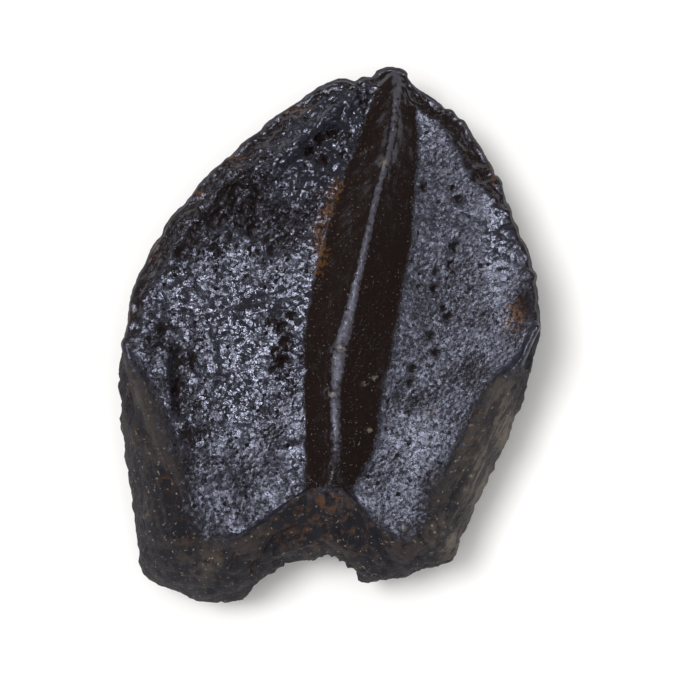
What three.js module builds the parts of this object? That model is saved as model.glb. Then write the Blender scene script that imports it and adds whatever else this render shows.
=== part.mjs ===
// A fossil Triceratops tooth: one leaf-shaped crown on the broken stub of its root, lying on its back.
//
// The frame: +X runs to the right across the enamel face, +Y towards the crown's tip, and +Z up, out of the
// enamel face. The origin is the middle of the tooth's outline, on the surface that it lies on. Millimetres.
//
// The tooth is one solid, made of closed rings. The first ring is folded flat along the crest of the keel.
// The next ones spread over the enamel face to its edge, go down the wall to the outline, turn under the back
// and close on the flat spot that the tooth rests on. Each ring has one step for each step of the outline.

import * as THREE from "three";
import { mergeVertices } from "three/addons/utils/BufferGeometryUtils.js";

// Driving dimensions.
const LEFT_DENTICLES = 8; // long, worn scallops
const RIGHT_DENTICLES = 14; // short scallops
const DENTICLE_HEIGHT = 0.25;
const ENAMEL_INSET = 0.4; // from the outline to the enamel's sharp edge, round the crown
const KEEL_HEIGHT = 1.1; // of the main ridge at its highest, above the lobes beside it
const CREST_WIDTH = 0.3; // the blunt top of the keel
const CREST_ROUNDING = 0.06;
const LOBE_HOLLOW = 0.45; // how far each lobe is sunk between the keel and the margin
const SIDE_RIDGE = { height: 0.45, halfWidth: 0.9 }; // the low ridge on the left lobe, near the tip
const RESTING_SPOT = { x: -0.7, y: -3.0, halfWidth: 4.0, halfLength: 4.6 };

// The outline, seen from above. Each side runs from the notch at the root's end to the crown's tip.
const LEFT_ROOT = [
  [-0.2, -11.0], [-0.9, -11.35], [-2.2, -11.55], [-3.5, -12.35], [-5.05, -13.4], [-5.95, -13.5],
  [-7.05, -13.3], [-8.25, -12.85], [-9.05, -12.5], [-9.6, -11.8], [-9.9, -9.3], [-10.05, -7.8],
  [-10.35, -5.8], [-10.5, -2.8], [-10.5, -1.5], [-10.2, 0.4],
];
const LEFT_CROWN = [
  [-10.2, 0.4], [-9.95, 2.2], [-9.0, 4.2], [-7.55, 6.2], [-5.75, 8.2], [-3.6, 10.2],
  [-1.6, 11.75], [-0.2, 12.45], [1.2, 12.75], [2.05, 12.85], [2.3, 13.3], [3.0, 13.5],
];
const RIGHT_ROOT = [
  [-0.2, -11.0], [0.5, -11.25], [1.5, -12.3], [2.1, -12.55], [3.6, -12.25], [4.7, -11.7],
  [6.2, -11.2], [6.75, -9.8], [7.6, -7.8], [8.5, -5.8], [9.3, -3.8], [9.95, -2.0], [10.5, 0.2],
];
const RIGHT_CROWN = [
  [10.5, 0.2], [10.3, 2.2], [9.7, 4.2], [8.95, 6.2], [8.1, 8.2], [7.4, 9.5], [6.55, 10.7],
  [5.4, 11.55], [4.6, 12.15], [3.95, 12.65], [3.75, 13.3], [3.0, 13.5],
];
// The enamel's lower edge, from the foot of the keel round each lobe to the corner of the crown.
const LEFT_ENAMEL = [
  [-0.1, -8.0], [-1.6, -8.1], [-2.4, -8.6], [-3.3, -9.3], [-4.6, -10.2], [-6.0, -10.1], [-6.7, -9.2],
  [-6.75, -7.6], [-7.1, -6.3], [-7.7, -5.0], [-8.1, -3.7], [-8.7, -1.9], [-9.6, -0.8], [-9.9, 0.4],
];
const RIGHT_ENAMEL = [
  [-0.1, -8.0], [1.2, -8.2], [1.7, -9.2], [3.3, -10.1], [4.65, -9.5], [5.3, -7.8],
  [6.2, -6.3], [6.85, -4.9], [7.7, -3.2], [8.3, -2.2], [9.4, -1.5], [10.15, 0.2],
];
// At places along the tooth from root to tip: where the keel's crest is, and how far its flanks reach.
const CREST = [
  [-7.8, -0.1], [-6.0, 0.25], [-3.0, 0.2], [-0.8, 0.45], [0.5, 0.8], [2.2, 1.2], [4.5, 1.75],
  [7.3, 2.4], [8.8, 2.85], [9.8, 3.05], [12.0, 3.3], [12.9, 3.25],
];
const LEFT_FLANK = [
  [-8, 1.2], [-5.3, 1.5], [-1.8, 1.55], [0.5, 2.0], [2.6, 2.1], [8, 1.9], [10.4, 1.2], [12.9, 0.6],
];
const RIGHT_FLANK = [
  [-8, 1], [-5.6, 1.8], [-3.6, 2.2], [0.5, 2.5], [2, 2.3], [4.8, 2.15], [7.8, 1.55], [12.9, 0.4],
];
// The crest's height at places along the tooth, as a share of its greatest height.
const CREST_HEIGHT = [
  [-9.4, 0], [-7.5, 0.32], [-5.3, 0.68], [-1.8, 0.73], [0.5, 0.9], [2.6, 1], [5.4, 0.95], [8, 0.77],
  [10.4, 0.44], [12.6, 0.15],
];
// The bevel inside each cutting margin, at places along the tooth: how far it falls and how wide it is.
const LEFT_MARGIN = {
  fall: [[1, 0.3], [4, 0.45], [10, 0.45], [12.4, 0.12]],
  width: [[1, 0.8], [4, 1.2], [9, 1.2], [12, 0.7]],
};
const RIGHT_MARGIN = {
  fall: [[1, 0.1], [6, 0.1], [7.6, 0.6], [10.5, 0.5], [12.4, 0.12]],
  width: [[1, 0.15], [6, 0.15], [7.6, 1.2], [11, 0.8]],
};
const CREST_FOOT = -7.6;
const CREST_MIDDLE = 0; // the place on the crest that faces the crown's corners
const CREST_TIP = 12.75;
const SIDE_RIDGE_LINE = [[0.6, 11.4], [-2.6, 8.4]];
// Heights above the surface that the tooth lies on, at places along the tooth from root to tip.
const FACE_HEIGHT = [[-13.5, 9.3], [-9, 9.9], [-5, 10.1], [0, 9.8], [5, 9.1], [10, 8.0], [13.4, 7.1]];
const OUTLINE_HEIGHT = [[-13.5, 4.4], [-8, 4.8], [-3, 5.8], [1.5, 7.4], [6, 7.4], [13.4, 6.4]];

// Mesh steps. Six steps or more to a denticle hold its valley, its two sides and its round top.
const CROWN_STEPS = 84;
const ROOT_STEPS = 36;
const SIDE_STEPS = ROOT_STEPS + CROWN_STEPS;
const LOBE_RINGS = 6; // from the keel's foot to the enamel's edge
const WALL_RINGS = 3;
const BACK_RINGS = 5;

const { clamp, lerp, smoothstep } = THREE.MathUtils;

// A value that runs evenly through [place, value] pairs and stays level past both ends.
function along(pairs, place) {
  const next = pairs.findIndex(([p]) => p > place);
  if (next === 0) return pairs[0][1];
  if (next < 0) return pairs[pairs.length - 1][1];
  const [p0, v0] = pairs[next - 1];
  const [p1, v1] = pairs[next];
  return lerp(v0, v1, (place - p0) / (p1 - p0));
}

// Evenly spaced points on a smooth curve through hand-set points, with both ends: steps + 1 of them.
function spaced(points, steps) {
  const knots = points.map(([x, y]) => new THREE.Vector3(x, y, 0));
  return new THREE.CatmullRomCurve3(knots, false, "centripetal").getSpacedPoints(steps);
}

// 1 on the crown and 0 on the root, with a short slope between them below the crown's corner.
function crownShare(step) {
  return smoothstep(step, ROOT_STEPS - 7, ROOT_STEPS + 2);
}

// The round teeth of the cutting margin: 0 in each valley, 1 on each top, and lower at the corner and the tip.
function denticle(step, count) {
  if (step <= ROOT_STEPS) return 0;
  const place = ((step - ROOT_STEPS) / CROWN_STEPS) * count;
  const ends = lerp(0.5, 1, smoothstep(place, 0, 3)) * (1 - smoothstep(step, SIDE_STEPS - 8, SIDE_STEPS - 4));
  return Math.sqrt(Math.abs(Math.sin(Math.PI * place))) * ends;
}

function crestHeight(y) {
  return KEEL_HEIGHT * along(CREST_HEIGHT, y);
}

// The keel's height across the face: a blunt top, then a straight flank down to 0 at its foot.
function keel(x, y) {
  const crestX = crestAt(y);
  const reach = along(x < crestX ? LEFT_FLANK : RIGHT_FLANK, y);
  const off = Math.abs(x - crestX);
  const height = crestHeight(y);
  const top = CREST_WIDTH / 2;
  if (off <= top) return height - CREST_ROUNDING * (off / top) ** 2;
  return (height - CREST_ROUNDING) * (1 - clamp((off - top) / (reach - top), 0, 1));
}

function crestAt(y) {
  return along(CREST, y);
}

function sideRidge(x, y) {
  const [[x0, y0], [x1, y1]] = SIDE_RIDGE_LINE;
  const length = Math.hypot(x1 - x0, y1 - y0);
  const place = ((x - x0) * (x1 - x0) + (y - y0) * (y1 - y0)) / length ** 2;
  const off = ((x - x0) * (y1 - y0) - (y - y0) * (x1 - x0)) / length;
  const ends = smoothstep(place, -0.3, 0.1) * (1 - smoothstep(place, 0.8, 1.3));
  return SIDE_RIDGE.height * Math.exp(-((off / SIDE_RIDGE.halfWidth) ** 2)) * ends;
}

// The height of the enamel face at a point toEdge millimetres inside the enamel's edge. The whole way from
// the crest to the edge is reach.
function faceHeight(x, y, toEdge, reach, crown, margin) {
  const hollow = LOBE_HOLLOW * Math.sin((Math.PI * toEdge) / reach) * clamp(reach / 4, 0, 1);
  const width = Math.min(along(margin.width, y), reach * 0.6) + 1e-6;
  const bevel = along(margin.fall, y) * (1 - smoothstep(toEdge, 0, width)) * crown;
  const ridge = sideRidge(x, y) * smoothstep(toEdge, 0, 1);
  return along(FACE_HEIGHT, y) - hollow - bevel + ridge + keel(x, y);
}

// One side of the tooth: for each step from the notch to the tip, a list of points from the keel's crest over
// the face, down the wall and under the back to the flat spot.
function side({ root, crownLine, enamelLine, flank, margin, denticles }) {
  const outline = [...spaced(root, ROOT_STEPS), ...spaced(crownLine, CROWN_STEPS).slice(1)];
  const lowerEnamel = spaced(enamelLine, ROOT_STEPS);
  const centre = new THREE.Vector3(0, -1, 0);
  return outline.map((smooth, step) => {
    const outward = smooth.clone().sub(centre).normalize();
    const rise = DENTICLE_HEIGHT * (denticle(step, denticles) - 0.6) * crownShare(step);
    const out = smooth.clone().addScaledVector(outward, rise);
    const inside = out.clone().addScaledVector(outward, -ENAMEL_INSET);
    const edge = step <= ROOT_STEPS ? lowerEnamel[step].clone().lerp(inside, crownShare(step)) : inside;
    const crestY = step < ROOT_STEPS ? lerp(CREST_FOOT, CREST_MIDDLE, step / ROOT_STEPS)
      : lerp(CREST_MIDDLE, CREST_TIP, (step - ROOT_STEPS) / CROWN_STEPS);
    const top = new THREE.Vector3(crestAt(crestY), crestY, 0);
    return [
      ...facePoints(top, edge, along(flank, top.y), crownShare(step), margin),
      ...wallPoints(edge, out, top.distanceTo(edge), crownShare(step), margin),
      ...backPoints(out, smooth),
    ];
  });
}

function facePoints(top, edge, flank, crown, margin) {
  const reach = Math.hypot(edge.x - top.x, edge.y - top.y);
  const foot = Math.min(flank / reach, 0.5);
  const shares = [0, Math.min(CREST_WIDTH / 2 / reach, 0.15), foot / 2];
  for (let ring = 0; ring <= LOBE_RINGS; ring++) shares.push(lerp(foot, 1, (ring / LOBE_RINGS) ** 0.85));
  return shares.map((share) => {
    const p = top.clone().lerp(edge, share);
    if (share === 0) return p.setZ(along(FACE_HEIGHT, p.y) + crestHeight(p.y));
    return p.setZ(faceHeight(p.x, p.y, reach * (1 - share), reach, crown, margin));
  });
}

// The crown's wall is a narrow chamfer; the root's wall bulges out to the outline.
function wallPoints(edge, out, reach, crown, margin) {
  const top = faceHeight(edge.x, edge.y, 0, reach, crown, margin);
  const bottom = along(OUTLINE_HEIGHT, out.y);
  const points = [];
  for (let ring = 1; ring <= WALL_RINGS; ring++) {
    const turn = (ring / WALL_RINGS) * (Math.PI / 2);
    points.push(edge.clone().lerp(out, Math.sin(turn)).setZ(lerp(bottom, top, Math.cos(turn))));
  }
  return points;
}

// The back of the crown thins evenly to its edge; the back of the root stays round.
function backPoints(out, smooth) {
  const turnTo = Math.atan2(smooth.y - RESTING_SPOT.y, smooth.x - RESTING_SPOT.x);
  const spot = new THREE.Vector3(
    RESTING_SPOT.x + RESTING_SPOT.halfWidth * Math.cos(turnTo),
    RESTING_SPOT.y + RESTING_SPOT.halfLength * Math.sin(turnTo),
    0,
  );
  const height = along(OUTLINE_HEIGHT, out.y);
  const thin = smoothstep(out.y, -5, 4) * 0.8;
  const points = [];
  for (let ring = 1; ring <= BACK_RINGS; ring++) {
    const share = ring / BACK_RINGS;
    const turn = share * (Math.PI / 2);
    const inward = lerp(1 - Math.cos(turn), share, thin);
    const up = lerp(1 - Math.sin(turn), (1 - share) ** 1.5, thin);
    const start = out.clone().lerp(smooth, Math.min(1, share * 3));
    points.push(start.lerp(spot, inward).setZ(height * up));
  }
  return points;
}

function toothGeometry() {
  const left = side({
    root: LEFT_ROOT, crownLine: LEFT_CROWN, enamelLine: LEFT_ENAMEL,
    flank: LEFT_FLANK, margin: LEFT_MARGIN, denticles: LEFT_DENTICLES,
  });
  const right = side({
    root: RIGHT_ROOT, crownLine: RIGHT_CROWN, enamelLine: RIGHT_ENAMEL,
    flank: RIGHT_FLANK, margin: RIGHT_MARGIN, denticles: RIGHT_DENTICLES,
  });
  // Counter-clockwise round the tooth, seen from above: up the right side, then down the left.
  const lines = [...right, ...left.slice(1, -1).reverse()];
  const rings = lines[0].length;
  const vertices = lines.flatMap((line) => line.flatMap((p) => [p.x, p.y, p.z]));
  vertices.push(RESTING_SPOT.x, RESTING_SPOT.y, 0);
  const last = lines.length * rings;
  const faces = [];
  lines.forEach((_, i) => {
    const a = i * rings;
    const b = ((i + 1) % lines.length) * rings;
    for (let ring = 0; ring < rings - 1; ring++) {
      faces.push(a + ring, a + ring + 1, b + ring);
      faces.push(b + ring, a + ring + 1, b + ring + 1);
    }
    faces.push(a + rings - 1, last, b + rings - 1);
  });
  const tooth = new THREE.BufferGeometry();
  tooth.setAttribute("position", new THREE.Float32BufferAttribute(vertices, 3));
  tooth.setIndex(faces);
  tooth.computeBoundingBox();
  const middle = tooth.boundingBox.getCenter(new THREE.Vector3());
  tooth.translate(-middle.x, -middle.y, 0); // the last hundredths, so that the origin is exactly in the middle
  return withoutFlatTriangles(mergeVertices(tooth, 1e-4));
}

// Where the first ring is folded on the crest, its two halves share their vertices, so that nothing is left
// between them. At the notch and the tip a triangle can lose a side in this way, and is dropped.
function withoutFlatTriangles(geometry) {
  const kept = [];
  const { array } = geometry.index;
  for (let i = 0; i < array.length; i += 3) {
    const [a, b, c] = [array[i], array[i + 1], array[i + 2]];
    if (a !== b && b !== c && c !== a) kept.push(a, b, c);
  }
  geometry.setIndex(kept);
  geometry.computeVertexNormals();
  return geometry;
}

const fossil = new THREE.MeshStandardMaterial({ color: 0x3a383c, roughness: 0.45, metalness: 0 });
const tooth = new THREE.Mesh(toothGeometry(), fossil);
tooth.name = "tooth";

const specimen = new THREE.Group();
specimen.add(tooth);

export default specimen;
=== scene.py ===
# A fossil Triceratops tooth, lying on its back with its enamel face up.
#
# Run as a script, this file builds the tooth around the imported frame. It is laid out as an add-on: each step
# is an operator, and each size and colour is a property.

import functools
import math

import bmesh
import bpy
import numpy as np
from bpy.props import FloatProperty, FloatVectorProperty, IntProperty, PointerProperty
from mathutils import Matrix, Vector, noise


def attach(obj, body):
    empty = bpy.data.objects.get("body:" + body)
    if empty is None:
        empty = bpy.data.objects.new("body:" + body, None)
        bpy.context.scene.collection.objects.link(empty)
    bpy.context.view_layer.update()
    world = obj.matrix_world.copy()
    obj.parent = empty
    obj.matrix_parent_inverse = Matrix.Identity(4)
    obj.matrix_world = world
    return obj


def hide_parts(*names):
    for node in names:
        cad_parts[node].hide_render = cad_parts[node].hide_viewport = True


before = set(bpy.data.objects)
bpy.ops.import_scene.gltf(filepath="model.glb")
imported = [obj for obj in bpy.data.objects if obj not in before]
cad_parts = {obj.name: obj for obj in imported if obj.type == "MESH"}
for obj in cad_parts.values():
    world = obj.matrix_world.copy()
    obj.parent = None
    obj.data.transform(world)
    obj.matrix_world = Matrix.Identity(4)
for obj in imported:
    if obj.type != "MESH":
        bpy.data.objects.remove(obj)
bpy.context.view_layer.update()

bl_info = {
    "name": "Fossil Triceratops Tooth",
    "version": (1, 0, 0),
    "blender": (4, 5, 0),
    "location": "View3D > Sidebar > Fossil Tooth",
    "description": "Builds a fossil tooth with a keeled enamel face and a broken root stub",
    "category": "Object",
}

MM = 0.001  # the scene is in metres, and the numbers below are in millimetres

# The outline seen from above: X to the right, Y towards the tip. Each side runs from the notch at the root's
# end to the crown's tip.
LEFT_ROOT = [
    (-0.2, -11.0), (-0.9, -11.35), (-1.55, -11.5), (-2.2, -11.55), (-2.85, -11.9), (-3.5, -12.35),
    (-4.2, -12.9), (-5.05, -13.4), (-5.95, -13.5), (-7.05, -13.3), (-8.25, -12.85), (-9.05, -12.5),
    (-9.6, -11.8), (-9.75, -10.8), (-9.9, -9.3), (-10.05, -7.8), (-10.35, -5.8), (-10.5, -2.8),
    (-10.5, -1.5), (-10.2, 0.4),
]
LEFT_CROWN = [
    (-10.2, 0.4), (-9.95, 2.2), (-9.0, 4.2), (-7.55, 6.2), (-5.75, 8.2), (-3.6, 10.2), (-1.6, 11.75),
    (-0.2, 12.45), (1.2, 12.75), (2.05, 12.85), (2.3, 13.3), (3.0, 13.5),
]
RIGHT_ROOT = [
    (-0.2, -11.0), (0.5, -11.25), (1.1, -11.8), (1.5, -12.3), (2.1, -12.55), (2.8, -12.35), (3.6, -12.25),
    (4.2, -12.05), (4.7, -11.7), (5.4, -11.6), (6.2, -11.2), (6.75, -9.8), (7.15, -8.8), (7.6, -7.8),
    (8.05, -6.8), (8.5, -5.8), (8.95, -4.8), (9.3, -3.8), (9.95, -2.0), (10.5, 0.2),
]
RIGHT_CROWN = [
    (10.5, 0.2), (10.3, 2.2), (9.7, 4.2), (8.95, 6.2), (8.1, 8.2), (7.4, 9.5), (6.55, 10.7), (5.4, 11.55),
    (4.6, 12.15), (3.95, 12.65), (3.75, 13.3), (3.0, 13.5),
]
# The enamel's lower edge, from the foot of the keel round each lobe to the corner of the crown.
LEFT_ENAMEL = [
    (-0.1, -7.7), (-1.6, -8.0), (-2.6, -8.8), (-3.5, -9.5), (-4.8, -10.3), (-6.1, -10.2), (-7.0, -9.0),
    (-7.3, -7.6), (-7.7, -6.3), (-8.2, -5.0), (-8.7, -3.6), (-9.2, -2.0), (-9.8, -0.8), (-9.95, 0.4),
]
RIGHT_ENAMEL = [
    (-0.1, -8.0), (1.2, -8.2), (1.7, -9.2), (3.3, -10.1), (4.65, -9.5), (5.3, -7.8), (6.2, -6.3),
    (6.85, -4.9), (7.7, -3.2), (8.3, -2.2), (9.4, -1.5), (10.15, 0.2),
]
# At places along the tooth from root to tip: where the keel's crest is, and how far its flanks reach from it.
CREST = [
    (-7.8, -0.1), (-6.0, 0.25), (-4.3, 0.25), (-3.0, 0.2), (-0.8, 0.45), (0.5, 0.8), (2.2, 1.2),
    (4.5, 1.75), (6.5, 2.2), (7.3, 2.4), (8.8, 2.85), (9.8, 3.05), (12.0, 3.3), (12.9, 3.25),
]
LEFT_FLANK = [
    (-8.0, 1.2), (-5.3, 1.5), (-3.6, 1.5), (-1.8, 1.55), (0.5, 2.0), (2.6, 2.1), (5.4, 2.05), (8.0, 1.9),
    (10.4, 1.45), (11.8, 1.3), (12.9, 0.9),
]
RIGHT_FLANK = [
    (-8.0, 1.0), (-5.6, 1.8), (-3.6, 2.2), (-1.3, 2.5), (0.5, 2.5), (2.0, 2.3), (4.8, 2.15), (7.8, 1.6),
    (10.2, 1.15), (11.8, 0.9), (12.9, 0.6),
]
# The bevel inside each cutting margin, at places along the tooth: how far it falls and how wide it is. On the
# right it is steep near the tip.
LEFT_MARGIN = {
    "fall": [(1.0, 0.3), (4.0, 0.6), (10.0, 0.6), (12.4, 0.15)],
    "width": [(1.0, 0.7), (4.0, 1.1), (9.0, 1.2), (12.0, 0.7)],
}
RIGHT_MARGIN = {
    "fall": [(1.0, 0.1), (6.0, 0.1), (7.6, 0.65), (10.5, 0.6), (12.4, 0.15)],
    "width": [(1.0, 0.15), (6.0, 0.15), (7.6, 1.3), (11.0, 0.9)],
}
# Half the width of the keel's blunt top.
CREST_HALF_WIDTH = [
    (-7.6, 0.3), (-4.5, 0.18), (-2.5, 0.18), (-0.8, 0.3), (0.8, 0.2), (3.0, 0.14), (9.0, 0.11),
    (11.2, 0.13), (12.5, 0.16),
]
# The crest's height over the lobes, as a share of its greatest height. It follows the flanks' reach.
CREST_HEIGHT = [
    (-9.4, 0), (-7.5, 0.32), (-5.3, 0.68), (-1.8, 0.73), (0.5, 0.9), (2.6, 1), (5.4, 0.93), (8, 0.72),
    (9, 0.6), (10.4, 0.46), (11.8, 0.3), (12.7, 0.1),
]
CREST_FOOT = -7.6
CREST_MIDDLE = 0.0  # the place on the crest that faces the crown's corners
CREST_TIP = 12.75
CREST_LEAN = 0.17  # to the right for each step up
OUTLINE_CENTRE = (0.0, -1.0)  # the scallops stand outwards from here
# Heights above the surface that the tooth lies on, at places along the tooth.
FACE_HEIGHT = [(-13.5, 9.3), (-9, 9.9), (-5, 10.1), (0, 9.8), (5, 9.1), (10, 8.0), (13.4, 7.1)]
OUTLINE_HEIGHT = [(-13.5, 4.4), (-8, 4.8), (-3, 5.8), (1.5, 7.4), (6, 7.4), (13.4, 6.4)]
# The low ridge from the tip into the left lobe.
SIDE_RIDGE_LINE = ((0.9, 11.6), (-2.8, 8.3))
SIDE_RIDGE_HEIGHT = 0.45
SIDE_RIDGE_HALF_WIDTH = 0.75
# The flat spot that the tooth rests on.
RESTING_SPOT = (-0.7, -3.0)
RESTING_HALF = (4.0, 4.6)

# Mesh steps: along each side of the outline, and rings from the crest to the flat spot.
ROOT_STEPS = 66
CROWN_STEPS = 84
KEEL_RINGS = 9
LOBE_RINGS = 34
WALL_RINGS = 7
BACK_RINGS = 9


class ToothShape(bpy.types.PropertyGroup):
    """Sizes of the tooth's smooth shape"""

    left_scallops: IntProperty(
        name="Left scallops", description="Long scallops on the left margin", default=8, min=3, max=21)
    right_scallops: IntProperty(
        name="Right scallops", description="Short scallops on the right margin", default=14, min=3, max=28)
    scallop_height: FloatProperty(
        name="Scallop height", description="From a valley of the margin to a top", default=0.25 * MM,
        unit="LENGTH", subtype="DISTANCE")
    enamel_inset: FloatProperty(
        name="Enamel inset", description="From the crown's outline to the enamel's sharp edge",
        default=0.18 * MM, unit="LENGTH", subtype="DISTANCE")
    keel_height: FloatProperty(
        name="Keel height", description="Height of the main ridge over the lobes beside it", default=1.1 * MM,
        unit="LENGTH", subtype="DISTANCE")
    lobe_hollow: FloatProperty(
        name="Lobe hollow", description="How far each lobe is sunk between keel and margin",
        default=0.45 * MM, unit="LENGTH", subtype="DISTANCE")


def smoothstep(value, low, high):
    """0 up to low and 1 from high, with a smooth slope between them."""
    t = np.clip((value - low) / (high - low), 0.0, 1.0)
    return t * t * (3 - 2 * t)


def along(pairs, place):
    """A value that runs evenly through (place, value) pairs and stays level past both ends."""
    places, values = zip(*pairs)
    return np.interp(place, places, values)


def spaced(points, steps):
    """steps + 1 evenly spaced points on a smooth curve through given points."""
    knots = np.array(points, dtype=float)
    ends = np.vstack([2 * knots[0] - knots[1], knots, 2 * knots[-1] - knots[-2]])
    t = np.linspace(0, 1, 24, endpoint=False)[:, None]  # fine steps from one point to the next
    fine = []
    for a, b, c, d in zip(ends[:-3], ends[1:-2], ends[2:-1], ends[3:]):
        fine.append(0.5 * (2 * b + (c - a) * t + (2 * a - 5 * b + 4 * c - d) * t**2
                           + (3 * b - a - 3 * c + d) * t**3))
    fine = np.vstack(fine + [knots[-1:]])
    travelled = np.concatenate([[0], np.cumsum(np.linalg.norm(np.diff(fine, axis=0), axis=1))])
    places = np.linspace(0, travelled[-1], steps + 1)
    return np.column_stack([np.interp(places, travelled, fine[:, k]) for k in range(2)])


def crown_share(steps):
    """1 on the crown and 0 on the root, with a short slope between them below the crown's corner."""
    return smoothstep(steps, ROOT_STEPS - 14, ROOT_STEPS + 4)


def scallops(steps, count):
    """The margin's scallops: 0 in each sharp valley and 1 on each top, uneven in length and height."""
    place = np.maximum(steps - ROOT_STEPS, 0) / CROWN_STEPS * count
    place = place + 0.22 * np.sin(place * 2.3 + count)
    uneven = 0.75 + 0.25 * np.sin(place * 1.7 + 1.1 * count)
    ends = (0.4 + 0.6 * smoothstep(place, 0, 3)) * (1 - smoothstep(steps, steps[-1] - 8, steps[-1] - 4))
    return np.sqrt(np.abs(np.sin(math.pi * place))) * uneven * ends


def crest_height(shape, y):
    """The crest's height over the lobes."""
    return shape.keel_height / MM * along(CREST_HEIGHT, y)


def keel(shape, x, y):
    """The keel's height across the face: a blunt top, then a straight flank down to 0 at its foot."""
    crest = along(CREST, y)
    reach = np.where(x < crest, along(LEFT_FLANK, y), along(RIGHT_FLANK, y))
    top = along(CREST_HALF_WIDTH, y)
    off = np.abs(x - crest)
    return crest_height(shape, y) * (1 - np.clip((off - top) / (reach - top), 0, 1))


def side_ridge(x, y):
    """The low ridge that runs from the tip into the left lobe."""
    (x0, y0), (x1, y1) = SIDE_RIDGE_LINE
    length = math.hypot(x1 - x0, y1 - y0)
    place = ((x - x0) * (x1 - x0) + (y - y0) * (y1 - y0)) / length**2
    off = ((x - x0) * (y1 - y0) - (y - y0) * (x1 - x0)) / length
    ends = smoothstep(place, -0.3, 0.1) * (1 - smoothstep(place, 0.8, 1.3))
    return SIDE_RIDGE_HEIGHT * np.exp(-((off / SIDE_RIDGE_HALF_WIDTH) ** 2)) * ends


def face_height(shape, x, y, to_edge, reach, crown, margin, rise):
    """The enamel face's height at points to_edge inside its edge, where crest and edge are reach apart."""
    share = np.clip(to_edge / np.maximum(reach, 1e-6), 0, 1)
    hollow = shape.lobe_hollow / MM * np.sin(math.pi * share) * np.clip(reach / 4, 0, 1)
    width = np.minimum(along(margin["width"], y), reach * 0.6) + 1e-6
    bevel = along(margin["fall"], y) * (1 - smoothstep(to_edge / width, 0, 1)) * crown
    ridge = side_ridge(x, y) * smoothstep(to_edge, 0, 1)
    bead = 1.8 * rise * np.exp(-((to_edge / 0.6) ** 2))  # each scallop swells the margin inside it
    return along(FACE_HEIGHT, y) - hollow - bevel + bead + ridge + keel(shape, x, y)


def side_rings(shape, root, crown_line, enamel_line, flank, margin, count):
    """One side of the tooth as rings of points, from the crest to the flat spot.

    With them come the points' distances from the enamel's edge, below 0 on the face and above 0 on the wall
    and the back, and how far each step of the outline belongs to the crown.
    """
    steps = np.arange(ROOT_STEPS + CROWN_STEPS + 1)
    crown = crown_share(steps)
    smooth = np.vstack([spaced(root, ROOT_STEPS), spaced(crown_line, CROWN_STEPS)[1:]])
    outward = smooth - np.array(OUTLINE_CENTRE)
    outward /= np.linalg.norm(outward, axis=1)[:, None]
    rise = shape.scallop_height / MM * (scallops(steps, count) - 0.6) * crown
    out = smooth + outward * rise[:, None]
    inside = out - outward * shape.enamel_inset / MM
    lower = np.vstack([spaced(enamel_line, ROOT_STEPS), np.zeros((CROWN_STEPS, 2))])
    edge = np.where((steps <= ROOT_STEPS)[:, None], lower + (inside - lower) * crown[:, None], inside)
    crest_y = np.interp(steps, [0, ROOT_STEPS, steps[-1]], [CREST_FOOT, CREST_MIDDLE, CREST_TIP])
    top = np.column_stack([along(CREST, crest_y), crest_y])

    ray = edge - top
    reach = np.linalg.norm(ray, axis=1)
    lean = np.abs(ray[:, 0] - CREST_LEAN * ray[:, 1]) / reach  # how squarely each ray crosses the flank
    foot = np.minimum(along(flank, crest_y) / np.maximum(lean, 0.3) / reach, 0.55)
    blunt = np.minimum(along(CREST_HALF_WIDTH, crest_y) / reach, 0.1)
    shares = [np.zeros(len(steps))]
    shares += [blunt + (foot - blunt) * (k / (KEEL_RINGS - 1)) for k in range(KEEL_RINGS)]
    shares += [foot + (1 - foot) * (k / LOBE_RINGS) ** 0.92 for k in range(1, LOBE_RINGS + 1)]
    rings, distances = [], []
    for share in shares:
        xy = top + ray * share[:, None]
        to_edge = reach * (1 - share)
        z = face_height(shape, xy[:, 0], xy[:, 1], to_edge, reach, crown, margin, rise)
        if not rings:
            z = along(FACE_HEIGHT, crest_y) + crest_height(shape, crest_y)
        rings.append(np.column_stack([xy, z]))
        distances.append(-to_edge)

    wall_top = rings[-1][:, 2]
    out_height = along(OUTLINE_HEIGHT, out[:, 1])
    for k in range(1, WALL_RINGS + 1):
        turn = k / WALL_RINGS * math.pi / 2
        xy = edge + (out - edge) * math.sin(turn)
        z = out_height + (wall_top - out_height) * math.cos(turn)
        rings.append(np.column_stack([xy, z]))
        distances.append(distances[-1] + np.linalg.norm(rings[-1] - rings[-2], axis=1))

    spot = np.array(RESTING_SPOT)
    angle = np.arctan2(smooth[:, 1] - spot[1], smooth[:, 0] - spot[0])
    spot_edge = spot + np.column_stack([RESTING_HALF[0] * np.cos(angle), RESTING_HALF[1] * np.sin(angle)])
    thin = smoothstep(out[:, 1], -5, 4) * 0.8
    for k in range(1, BACK_RINGS + 1):
        share = k / BACK_RINGS
        turn = share * math.pi / 2
        inward = (1 - math.cos(turn)) + (share - (1 - math.cos(turn))) * thin
        up = (1 - math.sin(turn)) + ((1 - share) ** 1.5 - (1 - math.sin(turn))) * thin
        start = out + (smooth - out) * min(1, share * 3)
        xy = start + (spot_edge - start) * inward[:, None]
        rings.append(np.column_stack([xy, out_height * up]))
        distances.append(distances[-1] + np.linalg.norm(rings[-1] - rings[-2], axis=1))
    return rings, distances, crown


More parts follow.
